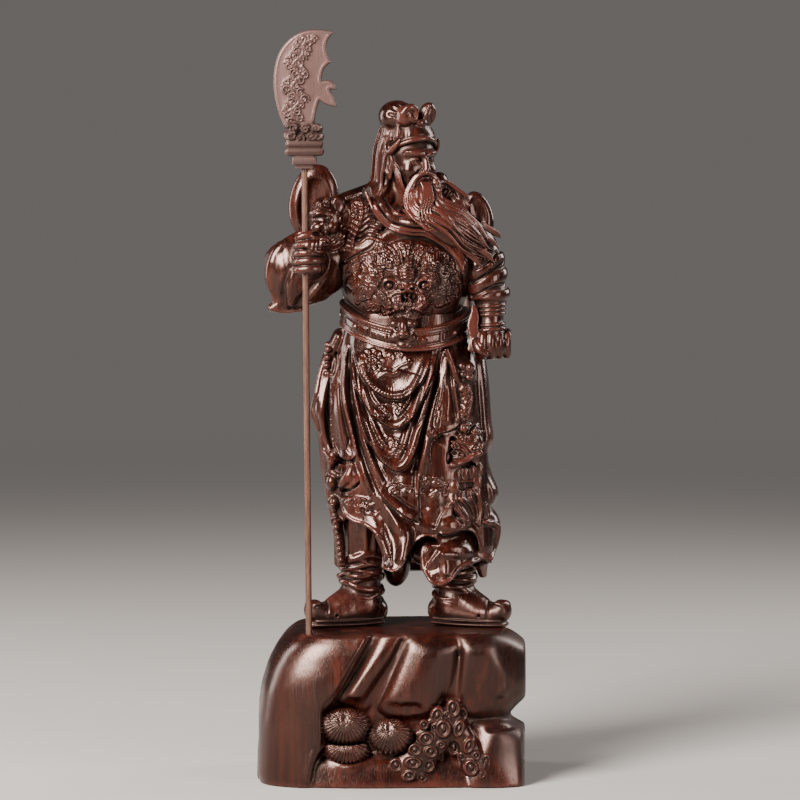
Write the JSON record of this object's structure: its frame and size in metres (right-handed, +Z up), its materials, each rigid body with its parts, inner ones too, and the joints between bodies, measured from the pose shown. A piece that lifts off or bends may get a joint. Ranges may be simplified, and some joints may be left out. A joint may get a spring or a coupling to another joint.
{
  "type": "guan yu statue",
  "caption": "Carved dark hardwood statue of a long-bearded armoured guardian standing on a rock, holding an upright crescent-bladed pole arm.",
  "frame": {"origin": "centre of the bounding box of the rock's flat underside", "axes": "+Z up from the underside to the blade's tip, the front faces -Y, +X is the figure's left hand"},
  "size_m": [0.144, 0.1039, 0.4001],
  "materials": {
    "dark_wood": "satin, waxed and polished",
    "blade_wood": "satin",
    "rod_wood": "matt"
  },
  "bodies": {
    "root": {"figure_on_rock": "dark_wood", "pole_arm_blade": "blade_wood", "pole_arm_rod": "rod_wood"}
  },
  "joints": []
}
